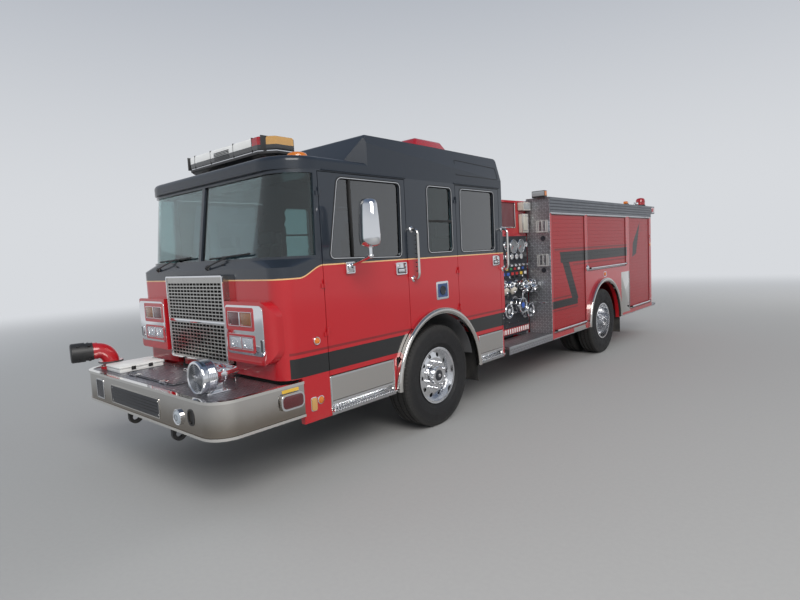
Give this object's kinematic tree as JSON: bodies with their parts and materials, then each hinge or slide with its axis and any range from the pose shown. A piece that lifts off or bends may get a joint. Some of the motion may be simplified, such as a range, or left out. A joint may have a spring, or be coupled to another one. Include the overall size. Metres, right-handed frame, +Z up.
{
  "type": "fire engine",
  "caption": "Parked pumper with a tilting raised-roof crew cab, hinged doors, steered and driven wheels, side pump panels, roll-up lockers, an open hose bed and a front siren.",
  "frame": {"origin": "on the ground, midway along the length and width of the parked vehicle", "axes": "+X to the vehicle's left, +Y to its rear, +Z up; the front bumper is at the low Y end"},
  "size_m": [3.25, 10.1478, 3.075],
  "materials": {
    "red_paint": "gloss",
    "black_paint": "gloss",
    "frame_paint": "satin",
    "engine_grey": "rough",
    "stainless": "polished",
    "treadplate": "embossed",
    "chrome": "polished",
    "wheel_alloy": "polished",
    "tyre_rubber": "matt",
    "tinted_glass": "tinted",
    "black_plastic": "matt",
    "grey_plastic": "matt",
    "lamp_plastic": "gloss",
    "seat_fabric": "woven",
    "flap_fabric": "coated",
    "grey_paint": "satin"
  },
  "bodies": {
    "chassis": {"chassis_frame": "frame_paint", "engine_block": "engine_grey", "fuel_tank": "black_paint", "front_axle": "frame_paint", "rear_axle": "frame_paint", "front_bumper": "stainless", "bumper_deck": "treadplate", "suction_elbow": "red_paint", "suction_cap": "black_plastic", "siren": "chrome", "pump_house": "red_paint", "pump_panels": "stainless", "crosslay_flaps": "flap_fabric", "body_sides": "red_paint", "hose_bed": "treadplate", "body_top_rails": "treadplate", "body_bulkheads": "treadplate", "shutter_doors": "red_paint", "rear_fender_trims": "stainless", "running_boards": "treadplate", "rear_lamps": "lamp_plastic"},
    "cab": {"cab_front": "red_paint", "cab_sides": "red_paint", "cab_roof": "black_paint", "cab_floor": "grey_plastic", "cab_glass": "tinted_glass", "grille": "chrome", "headlight_bezels": "red_paint", "headlamps": "lamp_plastic", "roof_lights": "lamp_plastic", "grab_rails": "stainless", "seats": "seat_fabric", "dashboard": "black_plastic", "cab_steps": "stainless", "front_fender_trims": "stainless", "engine_tunnel": "grey_plastic"},
    "front_left_door": {"front_left_door": "red_paint", "front_left_door_glass": "tinted_glass", "left_mirror": "chrome"},
    "front_right_door": {"front_right_door": "red_paint", "front_right_door_glass": "tinted_glass", "right_mirror": "chrome"},
    "crew_left_door": {"crew_left_door": "red_paint", "crew_left_door_glass": "tinted_glass"},
    "crew_right_door": {"crew_right_door": "red_paint", "crew_right_door_glass": "tinted_glass"},
    "left_knuckle": {"left_knuckle": "frame_paint"},
    "right_knuckle": {"right_knuckle": "frame_paint"},
    "front_left_wheel": {"front_left_rim": "wheel_alloy", "front_left_tyre": "tyre_rubber"},
    "front_right_wheel": {"front_right_rim": "wheel_alloy", "front_right_tyre": "tyre_rubber"},
    "rear_left_wheels": {"rear_left_rims": "wheel_alloy", "rear_left_tyres": "tyre_rubber"},
    "rear_right_wheels": {"rear_right_rims": "wheel_alloy", "rear_right_tyres": "tyre_rubber"},
    "hose_well_lid": {"hose_well_lid": "treadplate"},
    "deck_monitor": {"deck_monitor": "grey_paint"}
  },
  "joints": [
    {"name": "cab_tilt", "type": "hinge", "parent": "chassis", "child": "cab", "pos_m": [0, -4.22614, 1.01], "axis": [1, 0, 0], "range_deg": [0, 45]},
    {"name": "front_left_door_hinge", "type": "hinge", "parent": "cab", "child": "front_left_door", "pos_m": [1.221, -3.84264, 1.7], "axis": [0, 0, -1], "range_deg": [0, 75]},
    {"name": "front_right_door_hinge", "type": "hinge", "parent": "cab", "child": "front_right_door", "pos_m": [-1.221, -3.84264, 1.7], "axis": [0, 0, 1], "range_deg": [0, 75]},
    {"name": "crew_left_door_hinge", "type": "hinge", "parent": "cab", "child": "crew_left_door", "pos_m": [1.221, -1.91464, 1.7], "axis": [0, 0, -1], "range_deg": [0, 75]},
    {"name": "crew_right_door_hinge", "type": "hinge", "parent": "cab", "child": "crew_right_door", "pos_m": [-1.221, -1.91464, 1.7], "axis": [0, 0, 1], "range_deg": [0, 75]},
    {"name": "left_steer", "type": "hinge", "parent": "chassis", "child": "left_knuckle", "pos_m": [0.905, -2.29614, 0.54], "axis": [0, 0, 1], "range_deg": [-40, 40]},
    {"name": "right_steer", "type": "hinge", "parent": "chassis", "child": "right_knuckle", "pos_m": [-0.905, -2.29614, 0.54], "axis": [0, 0, 1], "range_deg": [-40, 40]},
    {"name": "front_left_spin", "type": "hinge", "parent": "left_knuckle", "child": "front_left_wheel", "pos_m": [1.035, -2.29614, 0.54], "axis": [1, 0, 0], "continuous": true},
    {"name": "front_right_spin", "type": "hinge", "parent": "right_knuckle", "child": "front_right_wheel", "pos_m": [-1.035, -2.29614, 0.54], "axis": [1, 0, 0], "continuous": true},
    {"name": "rear_left_spin", "type": "hinge", "parent": "chassis", "child": "rear_left_wheels", "pos_m": [0.908, 2.27386, 0.54], "axis": [1, 0, 0], "continuous": true},
    {"name": "rear_right_spin", "type": "hinge", "parent": "chassis", "child": "rear_right_wheels", "pos_m": [-0.908, 2.27386, 0.54], "axis": [1, 0, 0], "continuous": true},
    {"name": "hose_well_lid_hinge", "type": "hinge", "parent": "chassis", "child": "hose_well_lid", "pos_m": [0, -4.79614, 0.8857], "axis": [1, 0, 0], "range_deg": [0, 100]},
    {"name": "monitor_swing", "type": "hinge", "parent": "chassis", "child": "deck_monitor", "pos_m": [0, -0.30614, 2.56], "axis": [0, 0, 1], "continuous": true}
  ],
  "couplings": [
    {"joint": "right_steer", "follows": "left_steer", "ratio": 1}
  ]
}
